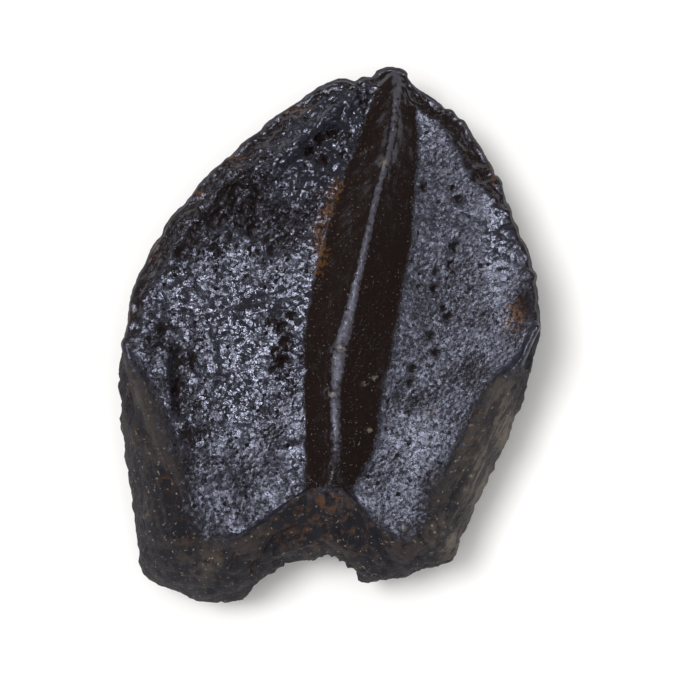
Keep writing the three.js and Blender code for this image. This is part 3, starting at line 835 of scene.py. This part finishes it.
    # Painted shade: the relief's tops are painted paler and its hollows darker.
    mottle = add("Math", {0: mottle, 1: 0.45, 2: at["relief shade and umber"]}, operation="MULTIPLY_ADD")[0]
    mottle = add("Math", {0: noises["crumbs"], 1: 0.3, 2: mottle}, operation="MULTIPLY_ADD")[0]
    mottle = add("Math", {0: noises["clouds"], 1: 0.25, 2: mottle}, operation="MULTIPLY_ADD")[0]
    body = add("MapRange", {0: mottle, 1: 0.43, 2: 0.59}, interpolation_type="SMOOTHSTEP")[0]
    rusty = {0: noises["marbling"], 1: 0.5, 2: 0.62, 4: 0.6}
    rusty = add("MapRange", rusty, interpolation_type="SMOOTHSTEP")[0]
    rusty = add("Math", {0: rusty, 1: at["umber"]}, operation="MULTIPLY")[0]
    silty = {0: mottle, 1: 0.42, 2: 0.6, 3: 0.1, 4: 0.6}
    silty = add("MapRange", silty, interpolation_type="SMOOTHSTEP")[0]
    silty = add("Math", {0: silty, 1: at["pale"]}, operation="MULTIPLY")[0]
    sand = add("MapRange", {0: noises["sand"], 1: 0.64, 2: 0.72}, interpolation_type="SMOOTHSTEP")[0]
    dentine = colours.dentine_dark
    for share, coat in (
        (body, colours.dentine),
        (rusty, colours.stain),
        (silty, colours.sediment),
        (sand, colours.sediment),
    ):
        dentine = add("Mix", {0: share, 6: dentine, 7: coat}, data_type="RGBA")[2]
    colour = add("Mix", {0: on_root, 6: enamel, 7: dentine}, data_type="RGBA")[2]
    colour = add("Mix", {0: ragged["silt"], 6: colour, 7: colours.sediment}, data_type="RGBA")[2]

    # Roughness: the dark enamel is the glossiest, the crest, whose grey is painted sheen, and the wall below
    # the enamel are matt.
    grey = add("Math", {0: 1.0, 1: dark}, operation="SUBTRACT")[0]
    dull_and_shaded = add("Math", {0: dull_and_shaded, 1: grey}, operation="MULTIPLY")[0]
    shine = {0: noises["swirls"], 1: 0.35, 2: 0.7, 3: 0.29, 4: 0.45}
    shine = add("MapRange", shine, interpolation_type="SMOOTHSTEP")[0]
    shine = add("Math", {0: dull_and_shaded, 1: 0.06, 2: shine}, operation="MULTIPLY_ADD")[0]
    shine = add("Math", {0: shine, 1: at["gloss"]}, operation="SUBTRACT")[0]
    shine = add("Mix", {0: dark, 2: shine, 3: 0.22}, data_type="FLOAT")[0]
    worn = add("Math", {0: crest, 1: 0.5}, operation="MULTIPLY")[0]
    shine = add("Math", {0: shine, 1: worn}, operation="MAXIMUM")[0]
    wall = add("MapRange", {0: at["off_enamel"], 1: -0.2, 2: 0.4}, interpolation_type="SMOOTHSTEP")[0]
    shine = add("Mix", {0: wall, 2: shine, 3: 0.85}, data_type="FLOAT")[0]
    roughness = add("Mix", {0: on_root, 2: shine, 3: 0.9}, data_type="FLOAT")[0]

    # Enamel relief, in millimetres: fine grain, low pebbles, and crystal facets that each lean their own way.
    # In the dull places every facet also leans the same way, away from the light, so that they are dark and
    # still glint.
    pebbles = add("TexVoronoi", {"Vector": warped, "Scale": 1 / (PEBBLE_SIZE * MM)})["Distance"]
    crystals = add("TexVoronoi", {"Vector": warped, "Scale": 1 / (CRYSTAL_SIZE * MM)})
    across = add("VectorMath", {0: warped, 1: crystals["Position"]}, operation="SUBTRACT")[0]
    lean = add("VectorMath", {0: crystals["Color"], 1: (0.5, 0.5, 0.5)}, operation="SUBTRACT")[0]
    facets = add("VectorMath", {0: across, 1: lean}, operation="DOT_PRODUCT")["Value"]
    steps = add("VectorMath", {0: across, 1: (-0.6, 0.45, 0.0)}, operation="DOT_PRODUCT")["Value"]
    steps = add("Math", {0: steps, 1: 0.85 * SLOPE}, operation="MULTIPLY")[0]
    grit = add("Math", {0: noises["grain"], 1: 0.014, 2: -0.024}, operation="MULTIPLY_ADD")[0]
    grit = add("Math", {0: noises["swirls"], 1: 0.04, 2: grit}, operation="MULTIPLY_ADD")[0]
    grit = add("Math", {0: pebbles, 1: -0.03, 2: grit}, operation="MULTIPLY_ADD")[0]
    grit = add("Math", {0: facets, 1: at["glitter"], 2: grit}, operation="MULTIPLY_ADD")[0]
    grit = add("Math", {0: steps, 1: dull_and_shaded, 2: grit}, operation="MULTIPLY_ADD")[0]
    calm = add("Math", {0: at["crest"], 1: ragged["flank"]}, operation="SUBTRACT")[0]
    calm = add("Math", {0: calm, 1: 0.8, 2: 1.0}, operation="MULTIPLY_ADD")[0]
    grit = add("Math", {0: grit, 1: calm}, operation="MULTIPLY")[0]
    # Dentine relief, in millimetres: it is raised where it is pale, and crumbles with the flecks.
    crumbs = add("Math", {0: mottle, 1: 0.3, 2: -0.15}, operation="MULTIPLY_ADD")[0]
    crumbs = add("Math", {0: flecks, 1: 0.4, 2: crumbs}, operation="MULTIPLY_ADD")[0]
    height = add("Mix", {0: on_root, 2: grit, 3: crumbs}, data_type="FLOAT")[0]
    bump = add("Bump", {"Strength": 1.0, "Distance": MM, "Height": height})[0]
    # Apatite's index of refraction is 1.63. Its shine on the fossil is a little blue.
    shader = add("BsdfPrincipled", {
        "Base Color": colour, "Roughness": roughness, "IOR": 1.63, "Specular Tint": linear("#d4d8ee"),
        "Normal": bump})[0]
    add("OutputMaterial", {"Surface": shader})
    return material


# The floor is a wide disc with a low rim, which level views see behind the tooth: for each step of the rim,
# how much wider it gets and how far it rises, in metres.
FLOOR_RADIUS = 1.25
FLOOR_RIM = ((1.05, 0.015), (1.05, 0.035), (1.04, 0.05))
# The camera looks straight down with a long lens, from nearly eight lengths of the tooth away.
CAMERA_PLACE = (0.95 * MM, -0.7 * MM, 206.5 * MM)
CAMERA_LENS = 205.7
CAMERA_SENSOR = 36


class StageSettings(bpy.types.PropertyGroup):
    """Colour of the floor and strengths of the lights"""

    floor: FloatVectorProperty(
        name="Floor", description="Colour of the floor", subtype="COLOR", size=4, default=linear("#f6f4f0"))
    soft: FloatProperty(name="Soft light", description="Strength of the widest overhead light", default=0.7)
    middle: FloatProperty(
        name="Middle light", description="Strength of the overhead light inside it", default=1.65)
    core: FloatProperty(name="Core light", description="Strength of the small bright core", default=1.5)
    surround: FloatProperty(name="Surround", description="Brightness of the dim surroundings", default=0.05)


class FOSSILTOOTH_OT_tooth(bpy.types.Operator):
    """Model the fossil tooth, its relief and its material"""

    bl_idname = "fossiltooth.tooth"
    bl_label = "Fossil tooth"

    def execute(self, context):
        scene = context.scene
        tooth = model_tooth(scene.tooth_shape)
        smooth = tooth.modifiers.new("smooth", "SUBSURF")
        smooth.levels = 1
        smooth.render_levels = 1
        bpy.ops.object.modifier_apply(modifier="smooth")
        shape_relief(tooth, scene.tooth_relief)
        bpy.ops.object.shade_smooth()
        tooth.data.materials.append(mineralised_tooth(scene.tooth_colours))
        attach(tooth, "root")
        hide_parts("tooth")
        return {"FINISHED"}


class FOSSILTOOTH_OT_stage(bpy.types.Operator):
    """Set up the floor, the light and the camera"""

    bl_idname = "fossiltooth.stage"
    bl_label = "Stage"

    def execute(self, context):
        scene = context.scene
        settings = scene.stage_settings
        deselect_all()
        bpy.ops.mesh.primitive_circle_add(vertices=96, radius=FLOOR_RADIUS, fill_type="NGON")
        floor = context.object
        floor.name = "floor"
        bpy.ops.object.mode_set(mode="EDIT")
        bpy.ops.mesh.select_mode(type="EDGE")
        bpy.ops.mesh.select_all(action="SELECT")
        for wider, up in FLOOR_RIM:
            bpy.ops.mesh.extrude_edges_move(TRANSFORM_OT_translate={"value": (0, 0, up)})
            bpy.ops.transform.resize(value=(wider, wider, 1))
        bpy.ops.object.mode_set(mode="OBJECT")
        card = bpy.data.materials.new("matt white card")
        card.use_nodes = True
        shader = card.node_tree.nodes["Principled BSDF"]
        shader.inputs["Base Color"].default_value = settings.floor
        shader.inputs["Roughness"].default_value = 0.95
        floor.data.materials.append(card)

        world = bpy.data.worlds.new("dim studio")
        world.use_nodes = True
        world.node_tree.nodes["Background"].inputs["Color"].default_value = (*[settings.surround] * 3, 1)
        scene.world = world
        # Three overhead lights inside each other: how wide each is and how it is turned, in degrees. They
        # come a little from the upper left.
        for name, strength, spread, turn in (
            ("soft light", settings.soft, 76, (-2, 0)),
            ("middle light", settings.middle, 36, (-3, -5)),
            ("core light", settings.core, 13, (-7, -12)),
        ):
            bpy.ops.object.light_add(type="SUN", location=(0, 0, 0.3))
            light = context.object
            light.name = name
            light.data.energy = strength
            light.data.angle = math.radians(spread)
            light.data.color = (0.96, 0.97, 1.0)
            light.rotation_euler = (math.radians(turn[0]), math.radians(turn[1]), 0)

        bpy.ops.object.camera_add(location=CAMERA_PLACE)
        camera = context.object
        camera.name = "camera"
        camera.data.sensor_width = CAMERA_SENSOR
        camera.data.lens = CAMERA_LENS
        camera.data.clip_start = 0.01
        scene.camera = camera
        scene.view_settings.view_transform = "Standard"
        return {"FINISHED"}


class FOSSILTOOTH_PT_panel(bpy.types.Panel):
    """Lists the steps that build the fossil tooth"""

    bl_label = "Fossil Tooth"
    bl_idname = "FOSSILTOOTH_PT_panel"
    bl_space_type = "VIEW_3D"
    bl_region_type = "UI"
    bl_category = "Fossil Tooth"

    def draw(self, context):
        for operator in (FOSSILTOOTH_OT_tooth, FOSSILTOOTH_OT_stage):
            self.layout.operator(operator.bl_idname)


CLASSES = (ToothShape, ToothRelief, ToothColours, StageSettings, FOSSILTOOTH_OT_tooth, FOSSILTOOTH_OT_stage,
           FOSSILTOOTH_PT_panel)


def register():
    for each in CLASSES:
        bpy.utils.register_class(each)
    bpy.types.Scene.tooth_shape = PointerProperty(type=ToothShape)
    bpy.types.Scene.tooth_relief = PointerProperty(type=ToothRelief)
    bpy.types.Scene.tooth_colours = PointerProperty(type=ToothColours)
    bpy.types.Scene.stage_settings = PointerProperty(type=StageSettings)


def unregister():
    del bpy.types.Scene.stage_settings
    del bpy.types.Scene.tooth_colours
    del bpy.types.Scene.tooth_relief
    del bpy.types.Scene.tooth_shape
    for each in reversed(CLASSES):
        bpy.utils.unregister_class(each)


def main():
    register()
    bpy.ops.fossiltooth.tooth()
    bpy.ops.fossiltooth.stage()


if __name__ == "__main__":
    main()
